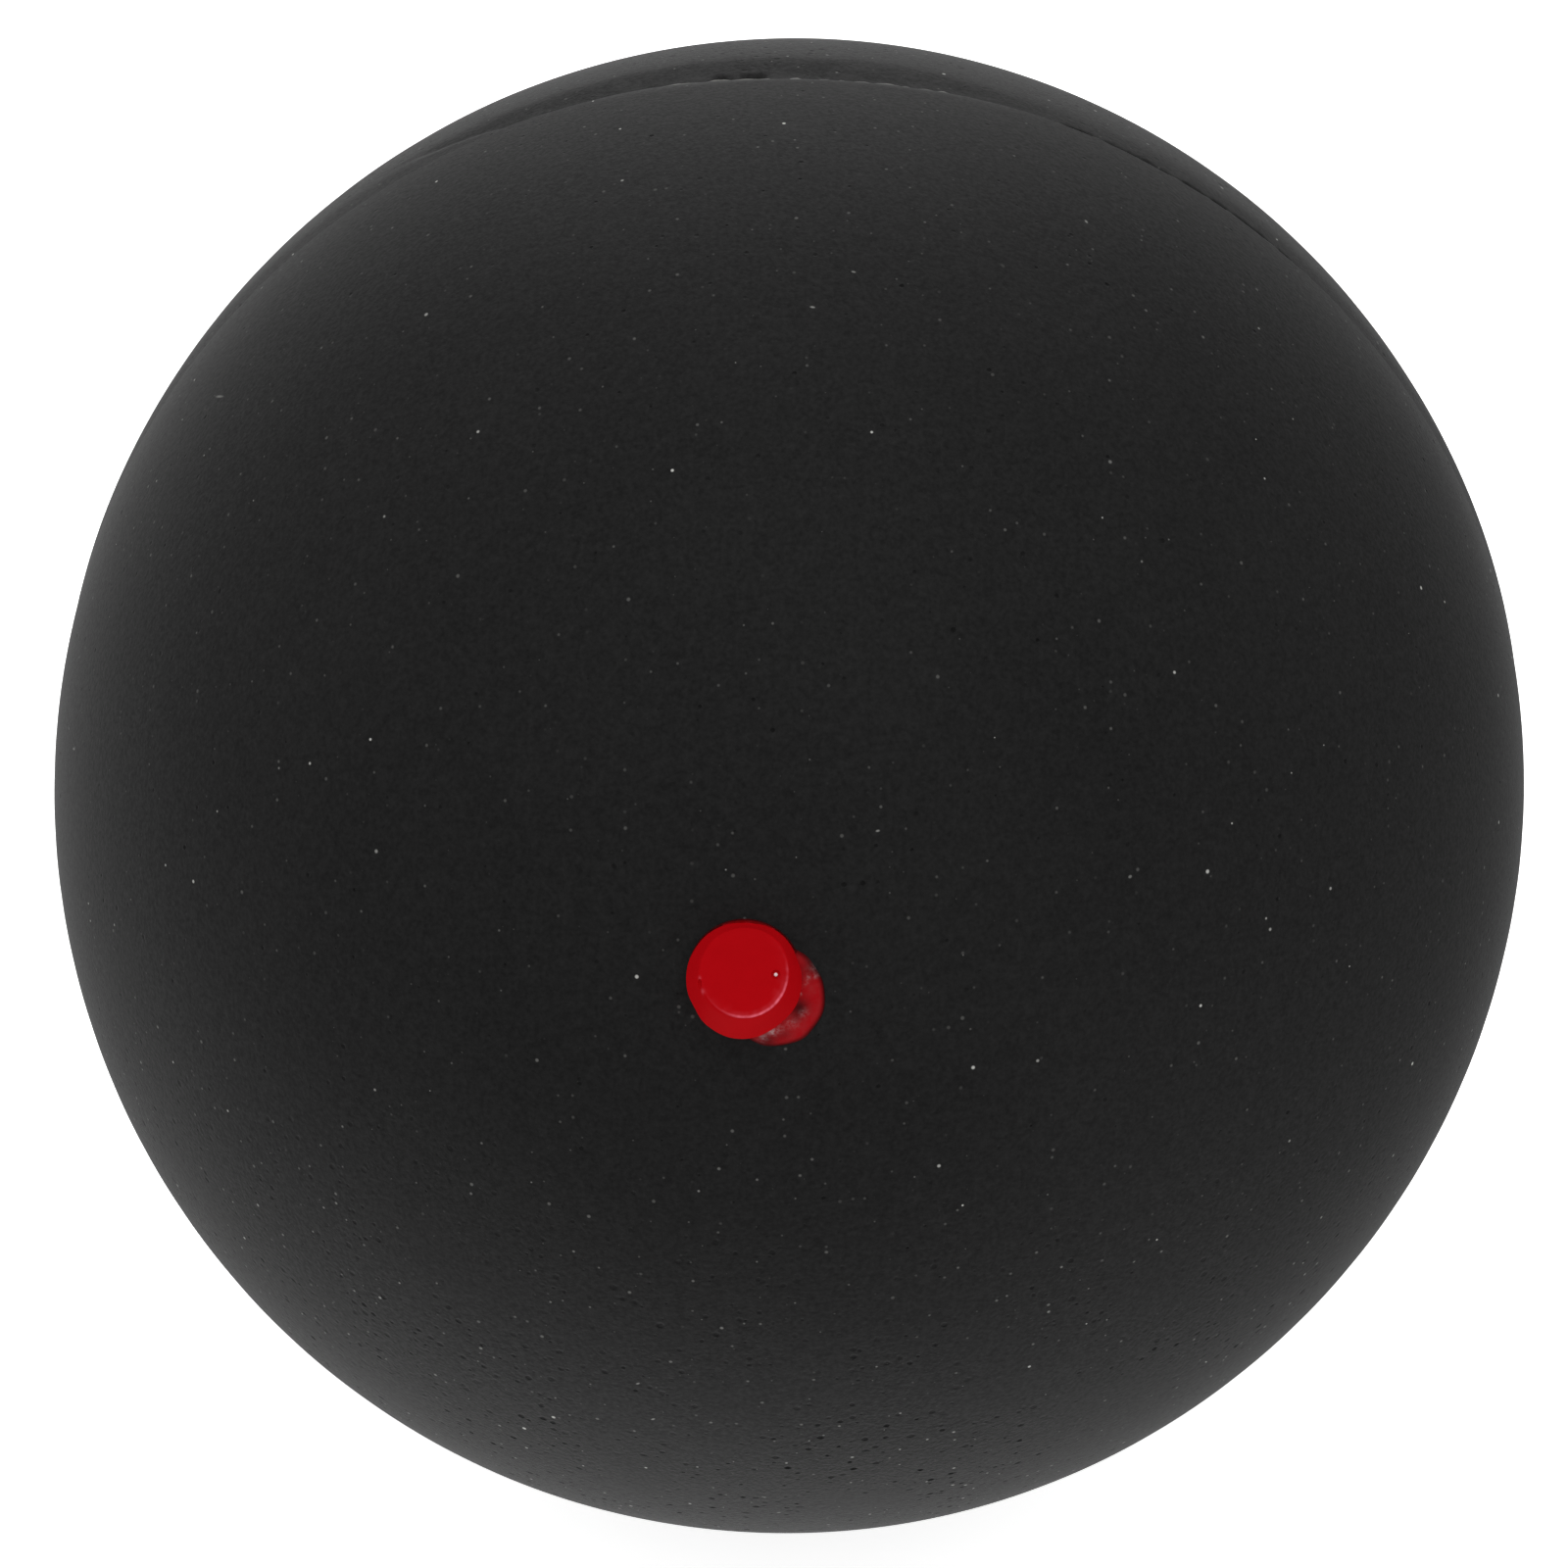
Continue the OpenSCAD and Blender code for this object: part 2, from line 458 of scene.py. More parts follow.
def layered(material, ground, layers):
    """Colour of a ground under layers, each laid over the last one by its share."""
    colour = linear(ground)
    for share, layer_colour in layers:
        blended = add(material, "ShaderNodeMix", {
            share_in: share, under_in: colour, over_in: linear(layer_colour)}, data_type="RGBA")
        colour = blended.outputs[colour_out]
    return colour


# Black butyl rubber, vulcanised in the mould and then tumbled: a dead, fine-grained surface that
# only shines a little where it is seen edge on. It picks up pale dust, lint and small pits.
rubber_colour = "#101010"
mottle_colour = "#191919"
dust_colour = "#d5d5d0"
buffed_colour = "#949490"
pit_shade_colour = "#0a0a0a"
rubber_roughness = 0.7
rubber_ior = 1.3
grain_mm = 0.12
grain_depth = 0.012 * mm
grain_low, grain_high = 0.3, 0.7
shine_low, shine_high = 0.34, 0.66
mottle_mm = 0.3
mottle_from, mottle_to = 0.4, 0.75
cloud_mm = 7
cloud_from, cloud_to = 0.4, 0.7
cloud_strength = 0.003
pit_cell_mm, pit_r_mm, pit_rarity = 0.42, 0.08, 1.4
pit_strength = 0.6
pit_depth = 0.05 * mm
pit_shine = 0.1
speck_cell_mm, speck_r_mm, speck_rarity = 0.8, 0.065, 1.7
fleck_cell_mm, fleck_r_mm, fleck_rarity = 0.32, 0.06, 1.2
fleck_strength = 0.12
fibre_cell_mm, fibre_r_mm, fibre_rarity = 1.7, 0.06, 0.8
fibre_stretch = 7
fibre_tilts_deg = ((20, 70, 0), (75, -20, 40))
fibre_strength = 0.5
# The underside is the most scuffed, in patches, and the rear half a little
scuff_mm = 3.5
scuff_from, scuff_to = 0.38, 0.6
scuffs_start_z = 2 * mm
scuffs_full_z = -16 * mm
rear_scuffs_full_y = 2 * mm
rear_scuffed = 0.45
scuff_depth = 0.04 * mm
scuff_pit_cell_mm, scuff_pit_r_mm, scuff_pit_rarity = 0.28, 0.12, 1
scuff_pit_strength = 1.4
scuff_fleck_strength = 0.6

black_rubber = new_material("black_butyl_rubber")
place = add(black_rubber, "ShaderNodeTexCoord").outputs["Object"]
grain = add(black_rubber, "ShaderNodeTexNoise", {
    "Vector": place, "Scale": per_metre(grain_mm), "Detail": 3, "Roughness": 0.6})
mottle = add(black_rubber, "ShaderNodeTexNoise", {
    "Vector": place, "Scale": per_metre(mottle_mm), "Detail": 3, "Roughness": 0.7})
mottled = add(black_rubber, "ShaderNodeMapRange", {
    "Value": mottle, "From Min": mottle_from, "From Max": mottle_to})
clouds = add(black_rubber, "ShaderNodeTexNoise", {
    "Vector": place, "Scale": per_metre(cloud_mm), "Detail": 4, "Roughness": 0.6})
cloudy = add(black_rubber, "ShaderNodeMapRange", {
    "Value": clouds, "From Min": cloud_from, "From Max": cloud_to, "To Max": cloud_strength})
parts = add(black_rubber, "ShaderNodeSeparateXYZ", {"Vector": place})
low_down = add(black_rubber, "ShaderNodeMapRange", {
    "Value": parts.outputs["Z"], "From Min": scuffs_start_z, "From Max": scuffs_full_z})
far_back = add(black_rubber, "ShaderNodeMapRange", {
    "Value": parts.outputs["Y"], "From Max": rear_scuffs_full_y, "To Max": rear_scuffed})
handled = add(black_rubber, "ShaderNodeMath", {0: low_down, 1: far_back}, operation="MAXIMUM")
patches = add(black_rubber, "ShaderNodeTexNoise", {
    "Vector": place, "Scale": per_metre(scuff_mm), "Detail": 4})
patchy = add(black_rubber, "ShaderNodeMapRange", {
    "Value": patches, "From Min": scuff_from, "From Max": scuff_to})
scuffed = add(black_rubber, "ShaderNodeMath", {0: handled, 1: patchy}, operation="MULTIPLY")
# Pits left by grit in the mould, about a tenth of a millimetre across, and wider, closer ones from
# scuffs. Their darker colour is painted shade.
mould_pits = spots(black_rubber, place, pit_cell_mm, pit_r_mm, pit_rarity)
faint_pits = add(black_rubber, "ShaderNodeMath", {
    0: mould_pits, 1: pit_strength}, operation="MULTIPLY")
scuff_pits = spots(black_rubber, place, scuff_pit_cell_mm, scuff_pit_r_mm, scuff_pit_rarity)
scuff_share = add(black_rubber, "ShaderNodeMath", {
    0: scuffed, 1: scuff_pit_strength}, operation="MULTIPLY")
deep_pits = add(black_rubber, "ShaderNodeMath", {
    0: scuff_pits, 1: scuff_share}, operation="MULTIPLY")
pits = add(black_rubber, "ShaderNodeMath", {
    0: faint_pits, 1: deep_pits}, operation="MAXIMUM", use_clamp=True)
# Single specks of pale dust, up to an eighth of a millimetre across, many faint flecks, and lint
specks = spots(black_rubber, place, speck_cell_mm, speck_r_mm, speck_rarity)
flecks = spots(black_rubber, place, fleck_cell_mm, fleck_r_mm, fleck_rarity)
fleck_share = add(black_rubber, "ShaderNodeMapRange", {
    "Value": scuffed, "To Min": fleck_strength, "To Max": scuff_fleck_strength})
fine_dust = add(black_rubber, "ShaderNodeMath", {0: flecks, 1: fleck_share}, operation="MULTIPLY")
dusty = add(black_rubber, "ShaderNodeMath", {0: specks, 1: fine_dust}, operation="MAXIMUM")
for tilt in fibre_tilts_deg:
    along = add(black_rubber, "ShaderNodeMapping", {
        "Vector": place,
        "Rotation": [math.radians(angle) for angle in tilt],
        "Scale": (1, 1, fibre_stretch),
    }, vector_type="TEXTURE")
    fibres = spots(black_rubber, along, fibre_cell_mm, fibre_r_mm, fibre_rarity)
    lint = add(black_rubber, "ShaderNodeMath", {0: fibres, 1: fibre_strength}, operation="MULTIPLY")
    dusty = add(black_rubber, "ShaderNodeMath", {0: dusty, 1: lint}, operation="MAXIMUM")
# The pale lip is partly buffed rubber and partly a painted highlight along its edge
buffed = add(black_rubber, "ShaderNodeAttribute", attribute_name="buffed").outputs["Fac"]
dusted = layered(black_rubber, rubber_colour, (
    (mottled, mottle_colour),
    (cloudy, dust_colour),
    (buffed, buffed_colour),
    (pits, pit_shade_colour),
    (dusty, dust_colour),
))
roughened = add(black_rubber, "ShaderNodeMapRange", {
    "Value": scuffed, "To Min": grain_depth, "To Max": scuff_depth})
grained = add(black_rubber, "ShaderNodeBump", {"Height": grain, "Distance": roughened})
bumped = add(black_rubber, "ShaderNodeBump", {
    "Height": pits, "Distance": pit_depth, "Normal": grained}, invert=True)
# The hollows of the grain and the pits hold no shine
shiny = add(black_rubber, "ShaderNodeMapRange", {
    "Value": grain,
    "From Min": grain_low,
    "From Max": grain_high,
    "To Min": shine_low,
    "To Max": shine_high,
})
unpitted = add(black_rubber, "ShaderNodeMapRange", {"Value": pits, "To Min": 1, "To Max": pit_shine})
shine = add(black_rubber, "ShaderNodeMath", {0: shiny, 1: unpitted}, operation="MULTIPLY")
surface = add(black_rubber, "ShaderNodeBsdfPrincipled", {
    "Base Color": dusted,
    "Roughness": rubber_roughness,
    "IOR": rubber_ior,
    "Specular IOR Level": shine,
    "Normal": bumped,
})
add(black_rubber, "ShaderNodeOutputMaterial", {"Surface": surface})


def finish_with(piece, material):
    """Gives a piece one material all over, also where a tool has cut it."""
    piece.data.materials.clear()
    piece.data.materials.append(material)
    for face in piece.data.polygons:
        face.material_index = 0


# A face turns smoothly into the next one where they meet at less than this
smooth_under = math.radians(40)


def settle(piece):
    """Squeezes a piece out of round with the rest of the ball and smooths its shading."""
    piece.data.transform(out_of_round)
    pick(piece)
    bpy.ops.object.shade_smooth_by_angle(angle=smooth_under)


for half, node in ((front_half, "front_half_shell"), (rear_half, "rear_half_shell")):
    finish_with(half, black_rubber)
    settle(half)
    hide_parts(node)
    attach(half, "root")

# The seam cement
# A film of black rubber solution, cured between the two rims. It shrinks back from the surface
# as its solvent leaves, so that its edge is a little hollow and lies in the crack.
film_steps = 480
film_layers = 2
film_hollow = 0.08 * mm
bpy.ops.object.select_all(action="DESELECT")
bpy.ops.mesh.primitive_circle_add(
    vertices=film_steps, radius=film_r, location=(0, half_film, 0), rotation=(math.pi / 2, 0, 0)
)
seam_film = bpy.context.object
seam_film.name = "seam_film"
bpy.ops.object.mode_set(mode="EDIT")
bpy.ops.mesh.primitive_circle_add(
    vertices=film_steps, radius=inner_r, location=(0, half_film, 0), rotation=(math.pi / 2, 0, 0)
)
bpy.ops.mesh.select_all(action="SELECT")
bpy.ops.mesh.bridge_edge_loops()
bpy.ops.mesh.select_all(action="SELECT")
for layer in range(film_layers):
    bpy.ops.mesh.extrude_region_move(
        TRANSFORM_OT_translate={"value": (0, -2 * half_film / film_layers, 0)}
    )
turn_outwards()
put_down(seam_film)
for point in seam_film.data.vertices:
    if abs(point.co.y) < half_film / 2 and point.co.length > (film_r + inner_r) / 2:
        point.co *= (film_r - film_hollow) / film_r

# Cured rubber solution: black, dull and a little stringy
cement_colour = "#101010"
cement_roughness = 0.7
strings_mm = 0.2
strings_depth = 0.02 * mm
cement = new_material("rubber_solution")
place = add(cement, "ShaderNodeTexCoord").outputs["Object"]
strings = add(cement, "ShaderNodeTexNoise", {"Vector": place, "Scale": per_metre(strings_mm)})
stringy = add(cement, "ShaderNodeBump", {"Height": strings, "Distance": strings_depth})
surface = add(cement, "ShaderNodeBsdfPrincipled", {
    "Base Color": linear(cement_colour), "Roughness": cement_roughness, "Normal": stringy})
add(cement, "ShaderNodeOutputMaterial", {"Surface": surface})
finish_with(seam_film, cement)
settle(seam_film)
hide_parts("seam_cement")
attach(seam_film, "root")

# The speed dot
# A small plug of red rubber, moulded with a shallow dish in its slanting top. It is pushed into
# the blind hole with bonding rubber, and its head has set leaning upwards and to the left.
head_r = 1.41 * mm
head_top_r = 1.07 * mm
head_h = 0.6 * mm
top_slant = math.tan(math.radians(12))
top_right = 0.03 * mm
top_up = 0.17 * mm
head_sides = 160
flank_ring_shares = (0.2, 0.36, 0.52, 0.68, 0.84)
foot_bevel = 0.05 * mm
top_bevel = 0.035 * mm
bevel_steps = 3
neck_inset = 0.2 * mm
neck_long = 2.5 * mm
head_lean = math.radians(15)
head_rise = 0.35 * mm
head_left = 0.35 * mm
head_up = 0.25 * mm
head_place = (
    dot_place
    @ Matrix.Translation((-head_left, head_up, head_rise))
    @ Matrix.Rotation(-head_lean, 4, "X")
)
# The dish is deepest at its lower right, under a crisp rim. Its side is steep at first, then soft.
rim_w = 0.015 * mm
dish_side_steps_mm = ((0.03, 0.025), (0.1, 0.045))
dish_depth = 0.07 * mm
dish_rings = 6
dish_side = math.radians(-66)
# The moulding is slightly out of true, and it has taken a few knocks: each has its place to the
# right, upwards and outwards from the head's foot, its size and its depth
out_of_true = 0.02 * mm
out_of_true_size = 1.1 * mm
knocks_mm = (
    (-1.24, -0.66, 0.05, 0.25, 0.03),
    (0.8, -1.15, 0.05, 0.45, 0.05),
    (1.3, 0.55, 0.1, 0.2, 0.03),
    (0.1, 1.4, 0.1, 0.6, 0.05),
)
# A nick in the left of the rim
nick_right = -1.05 * mm
nick_up = -0.1 * mm
nick_size_mm = (0.07, 0.13, 0.1)
nick_sides, nick_rings = 32, 16
# A moulding nib stands in a small ring-shaped dent on the right of the dish
nib_right = 0.776 * mm
nib_up = 0.15 * mm
nib_r = 0.05 * mm
nib_sides, nib_rings = 24, 12
dent_r = 0.08 * mm
dent_w = 0.03 * mm
dent_sides, dent_section_sides = 32, 12
# How straight up or down a face of the head points, at least, where it is a level one
level = 0.99


def select_faces(piece, wanted):
    """Selects, in edit mode, the faces whose middle and normal pass the test."""
    bpy.ops.object.mode_set(mode="EDIT")
    bpy.ops.mesh.select_mode(type="FACE")
    bpy.ops.mesh.select_all(action="DESELECT")
    bpy.ops.object.mode_set(mode="OBJECT")
    for face in piece.data.polygons:
        face.select = wanted(face.center, face.normal)
    bpy.ops.object.mode_set(mode="EDIT")


bpy.ops.object.select_all(action="DESELECT")
bpy.ops.mesh.primitive_cylinder_add(
    vertices=head_sides, radius=head_r, depth=head_h, location=(0, 0, head_h / 2)
)
dot = bpy.context.object
dot.name = "speed_dot_plug"
put_down(dot)
select_points(dot, lambda co: co.z > head_h / 2)
bpy.ops.transform.resize(value=(head_top_r / head_r,) * 3, center_override=(0, 0, head_h))
bpy.ops.transform.translate(value=(top_right, top_up, 0))
for share in flank_ring_shares:
    bpy.ops.mesh.select_all(action="SELECT")
    bpy.ops.mesh.bisect(plane_co=(0, 0, share * head_h), plane_no=(0, 0, 1), threshold=merge_within)
select_points(dot, lambda co: co.z < merge_within)
bpy.ops.mesh.bevel(offset=foot_bevel, segments=bevel_steps, affect="EDGES")
select_points(dot, lambda co: co.z > head_h - merge_within)
bpy.ops.mesh.bevel(offset=top_bevel, segments=bevel_steps, affect="EDGES")
# The rim and the dish
select_faces(dot, lambda middle, normal: normal.z > level and middle.z > head_h - merge_within)
bpy.ops.mesh.inset(thickness=rim_w)
for width_mm, depth_mm in dish_side_steps_mm:
    bpy.ops.mesh.inset(thickness=width_mm * mm, depth=-depth_mm * mm)
for ring in range(dish_rings):
    bpy.ops.mesh.inset(thickness=head_top_r / (dish_rings + 2))
bpy.ops.mesh.poke()
# The neck
select_faces(dot, lambda middle, normal: normal.z < -level and middle.z < merge_within)
bpy.ops.mesh.inset(thickness=max(neck_inset - foot_bevel, merge_within))
bpy.ops.mesh.extrude_region_move(TRANSFORM_OT_translate={"value": (0, 0, -neck_long)})
bpy.ops.object.mode_set(mode="OBJECT")


def from_top_middle(place):
    """How far a place on the head lies to the right of the middle of its top, and above it."""
    return Vector((place.x - top_right, place.y - top_up))


def dish_share(place):
    """How deep the dish is at a place: 1 on its deep side, and 0 on the far side."""
    along = from_top_middle(place) @ Vector((math.cos(dish_side), math.sin(dish_side)))
    return min(max(0.5 + 0.5 * along / head_top_r, 0), 1)


def top_height(right, up):
    """Height of the dish over the head's foot."""
    return head_h - dish_depth * dish_share(Vector((right, up, 0))) - up * top_slant


for point in dot.data.vertices:
    place = point.co.copy()
    if place.z < 0:
        continue
    if from_top_middle(place).length < head_top_r - top_bevel and place.z > head_h / 2:
        point.co.z = head_h - (head_h - place.z) * dish_share(place)
    outwards = place * Vector((1, 1, 0))
    push = out_of_true * ragged_at(place / out_of_true_size, octaves=3)
    for right, up, out, size, depth in knocks_mm:
        apart = (place - Vector((right, up, out)) * mm).length
        push -= depth * mm * soft_share(apart, size * mm)
    if outwards.length > merge_within:
        point.co += outwards.normalized() * push * min(outwards.length / head_top_r, 1)
    # The top slants down towards the top of the ball
    point.co.z -= place.z / head_h * place.y * top_slant
bpy.ops.object.select_all(action="DESELECT")
bpy.ops.mesh.primitive_uv_sphere_add(
    segments=nick_sides,
    ring_count=nick_rings,
    radius=mm,
    location=(nick_right, nick_up, top_height(nick_right, nick_up)),
    scale=nick_size_mm,
)
nick = bpy.context.object
put_down(nick)
cut_with(dot, nick)
nib_height = top_height(nib_right, nib_up)
bpy.ops.object.select_all(action="DESELECT")
bpy.ops.mesh.primitive_torus_add(
    major_segments=dent_sides,
    minor_segments=dent_section_sides,
    major_radius=dent_r,
    minor_radius=dent_w,
    location=(nib_right, nib_up, nib_height),
    rotation=(-math.atan(top_slant), 0, 0),
)
ring_dent = bpy.context.object
put_down(ring_dent)
cut_with(dot, ring_dent)
bpy.ops.object.select_all(action="DESELECT")
bpy.ops.mesh.primitive_uv_sphere_add(
    segments=nib_sides, ring_count=nib_rings, radius=nib_r, location=(nib_right, nib_up, nib_height)
)
nib = bpy.context.object
put_down(nib)
cut_with(dot, nib, "UNION")
put_down(dot, head_place)

# The foot of the neck stands on the bonding film, and the stem goes down the hole
patch_r = 3 * mm
patch_rings = 16


def disc(radius, rings, top_middle, thickness):
    """A flat closed disc with rings of faces on both sides, its thickness below its top."""
    bpy.ops.object.select_all(action="DESELECT")
    bpy.ops.mesh.primitive_circle_add(
        vertices=head_sides, radius=radius, fill_type="NGON", location=top_middle
    )
    piece = bpy.context.object
    put_down(piece)
    bpy.ops.object.mode_set(mode="EDIT")
    bpy.ops.mesh.select_mode(type="FACE")
    bpy.ops.mesh.select_all(action="SELECT")
    for ring in range(rings):
        bpy.ops.mesh.inset(thickness=radius / (rings + 1))
    bpy.ops.mesh.poke()
    bpy.ops.mesh.select_all(action="SELECT")
    bpy.ops.mesh.extrude_region_move(TRANSFORM_OT_translate={"value": (0, 0, -thickness)})
    turn_outwards()
    return piece


def curved_disc(radius, low_r, high_r, right=0, up=0):
    """A disc square to the dot's stem, whose two faces follow spheres about the ball's centre."""
    piece = disc(radius, patch_rings, (right, up, high_r), high_r - low_r)
    for point in piece.data.vertices:
        sphere_r = high_r if point.co.z > (low_r + high_r) / 2 else low_r
        point.co.z = math.sqrt(sphere_r ** 2 - point.co.x ** 2 - point.co.y ** 2) - front_r
    put_down(piece, dot_place)
    return piece


cut_with(dot, curved_disc(patch_r, front_r - wall, front_r + bond_t))
cut_with(dot, peg(stem_r, -stem_depth, head_rise + bond_t), "UNION")


def mark(piece, name, share_at, frame_place):
    """Keeps, for each point of a piece, a share worked out from its place in another frame."""
    marks = piece.data.attributes.new(name, "FLOAT", "POINT")
    to_frame = frame_place.inverted()
    for index, point in enumerate(piece.data.vertices):
        marks.data[index].value = share_at(to_frame @ point.co)


# A painted highlight runs along the rim of the dish on its deep side, with a faint painted sheen just
# inside it
rim_highlight_out = 0.025 * mm
rim_highlight_in = 0.06 * mm
rim_highlight_at = math.radians(-57)
rim_highlight_turn = math.radians(48)
rim_sheen_in = 0.26 * mm
rim_sheen_share = 0.12
rim_broken_mean = 0.85
rim_broken_size = 0.15 * mm
# Two more painted highlights, at the ends of the nick: each has its place on the top and its size
nick_highlights_mm = ((-0.97, -0.27, 0.05), (-1.04, 0.05, 0.03))
nick_highlights_share = 1 / 3


def rim_highlight_share(place):
    """Painted highlight on the deep side of the dish's rim, with a faint painted sheen just inside it,
    and at the ends of the nick.
    """
    if place.z + place.y * top_slant < head_h - dish_depth - merge_within:
        return 0
    across = from_top_middle(place)
    inside = head_top_r - top_bevel - across.length
    on_rim = smooth_step(-rim_highlight_out, 0, inside) * smooth_step(rim_highlight_in, 0, inside)
    sheen = smooth_step(0, rim_highlight_in, inside) * smooth_step(rim_sheen_in, 0, inside)
    around = math.atan2(across.y, across.x) - rim_highlight_at
    around = math.atan2(math.sin(around), math.cos(around))
    broken = rim_broken_mean + ragged_at(place / rim_broken_size, octaves=2)
    highlight = (on_rim + rim_sheen_share * sheen) * soft_share(around, rim_highlight_turn) * broken
    for right, up, size in nick_highlights_mm:
        apart = Vector((place.x - right * mm, place.y - up * mm)).length
        highlight += nick_highlights_share * soft_share(apart, size * mm)
    return min(max(highlight, 0), 1)


def nib_glint_share(place):
    """A painted glint on the tip of the nib."""
    return 1 if (place - Vector((nib_right, nib_up, nib_height + nib_r))).length < nib_r else 0


mark(dot, "painted_highlight", rim_highlight_share, head_place)
mark(dot, "nib_glint", nib_glint_share, head_place)

# Red rubber, compression moulded: satin, with a faint bloom, a painted highlight on the rim of its dish
# and a painted glint on its nib
red_colour = "#c10a13"
red_dark_colour = "#b40810"
rim_highlight_colour = "#ff7488"
nib_glint_colour = "#ffe6ea"
red_roughness = 0.5
red_ior = 1.13
red_shine = 0.1
bloom_mm = 0.5
moulded_mm = 0.07
moulded_depth = 0.003 * mm
red_rubber = new_material("moulded_red_rubber")
place = add(red_rubber, "ShaderNodeTexCoord").outputs["Object"]
bloom = add(red_rubber, "ShaderNodeTexNoise", {
    "Vector": place, "Scale": per_metre(bloom_mm), "Detail": 4, "Roughness": 0.6})
painted_highlight = add(red_rubber, "ShaderNodeAttribute", attribute_name="painted_highlight").outputs["Fac"]
nib_glint = add(red_rubber, "ShaderNodeAttribute", attribute_name="nib_glint").outputs["Fac"]
bright = layered(red_rubber, red_dark_colour, (
    (bloom, red_colour),
    (painted_highlight, rim_highlight_colour),
    (nib_glint, nib_glint_colour),
))
moulded = add(red_rubber, "ShaderNodeTexNoise", {"Vector": place, "Scale": per_metre(moulded_mm)})
satin = add(red_rubber, "ShaderNodeBump", {"Height": moulded, "Distance": moulded_depth})
surface = add(red_rubber, "ShaderNodeBsdfPrincipled", {
    "Base Color": bright,
    "Roughness": red_roughness,
    "IOR": red_ior,
    "Specular IOR Level": red_shine,
    "Normal": satin,
})
add(red_rubber, "ShaderNodeOutputMaterial", {"Surface": surface})
finish_with(dot, red_rubber)
settle(dot)
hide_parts("speed_dot")
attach(dot, "root")

# The dot's bonding rubber
# A dark red solution of rubber that glues the dot into its hole, and cures there. It makes a
# sleeve round the stem and a film under the head, and some was squeezed out to the lower right
# as a bead, where dust has stuck to it.
bond_margin = 0.04 * mm
bead_r = 1.22 * mm
bead_h = 0.36 * mm
bead_right = 0.39 * mm
bead_down = 0.25 * mm
bead_rings = 24
bead_flatness = 3
bead_sunk = 0.02 * mm
bead_edge = 0.015 * mm
bead_unevenness = 0.05 * mm
bead_unevenness_size = 0.9 * mm
bead_lumps = 0.025 * mm
bead_lumps_size = 0.25 * mm


def bead_thickness(place):
    """Height of the bead above the ball at a place measured from its own middle."""
    share = min(Vector((place.x, place.y)).length / bead_r, 1)
    lumps = bead_lumps * ragged_at(place / bead_lumps_size, octaves=3)
    return bead_edge + (bead_h + lumps) * (1 - share ** bead_flatness)


bond = disc(bead_r, bead_rings, (0, 0, bead_h), bead_h)
bond.name = "dot_bead"
for point in bond.data.vertices:
    place = point.co.copy()
    flat = Vector((place.x, place.y, 0))
    spread = 1 + bead_unevenness / bead_r * ragged_at(flat / bead_unevenness_size, octaves=2)
    across = Vector((flat.x * spread + bead_right, flat.y * spread - bead_down, 0))
    ball_z = math.sqrt(front_r ** 2 - across.length_squared) - front_r
    if place.z > bead_h / 2:
        across.z = ball_z + bead_thickness(flat)
    else:
        across.z = ball_z - bead_sunk
    point.co = across
put_down(bond, dot_place)
neck_r = head_r - neck_inset
neck_reach = neck_r / math.cos(head_lean) + head_rise * math.tan(head_lean)
film_reach = neck_reach + bond_margin
head_film = curved_disc(film_reach, front_r - bead_sunk, front_r + bond_t, -head_left, head_up)
cut_with(bond, head_film, "UNION")
cut_with(bond, peg(stem_r + bond_t, -stem_depth - bond_t, bond_t / 2), "UNION")

# Dust has settled where the bead meets the head, and the bead is darker in patches in its hollows and
# where it meets the head. The bead's edge and the film are so thin that the black of the ball shows
# through. Each patch has its place to the right of the stem and above it, its size and its strength.
dust_patches_mm = (
    (0.33, -1.03, 0.09, 1),
    (0.5, -0.96, 0.1, 0.3),
    (0.08, -1.2, 0.12, 0.4),
    (0.8, -0.8, 0.16, 0.22),
    (1.08, -0.56, 0.1, 0.25),
    (0.98, -0.09, 0.035, 1),
    (1.14, 0.16, 0.04, 0.35),
    (1.17, 0.28, 0.05, 0.4),
    (1.3, 0.5, 0.14, 0.15),
    (1.37, 0.28, 0.045, 0.5),
)
darkened_patches_mm = (
    (0.98, -0.42, 0.22, 0.85),
    (1.25, 0.5, 0.26, 0.6),
    (0.2, -1.3, 0.26, 0.7),
    (0.62, -1.1, 0.2, 0.35),
    (0.9, -0.7, 0.15, 0.3),
)
thin_below = 0.13 * mm
film_thinness = 0.85


def in_patches(place, patches_mm):
    """Total strength of the patches at a place on the bead."""
    total = 0
    for right, up, size, strength in patches_mm:
        apart = Vector((place.x - right * mm, place.y - up * mm)).length
        total += strength * soft_share(apart, size * mm)
    return min(total, 1)


def thin_share(place):
    """How thin the bonding rubber is at a place."""
    apart = Vector((place.x - bead_right, place.y + bead_down)).length
    if apart > bead_r:
        return film_thinness
    return smooth_step(thin_below, 0, (dot_place @ place).length - front_r)


mark(bond, "dust", lambda place: in_patches(place, dust_patches_mm), dot_place)
mark(bond, "darkened", lambda place: in_patches(place, darkened_patches_mm), dot_place)
mark(bond, "thin", thin_share, dot_place)

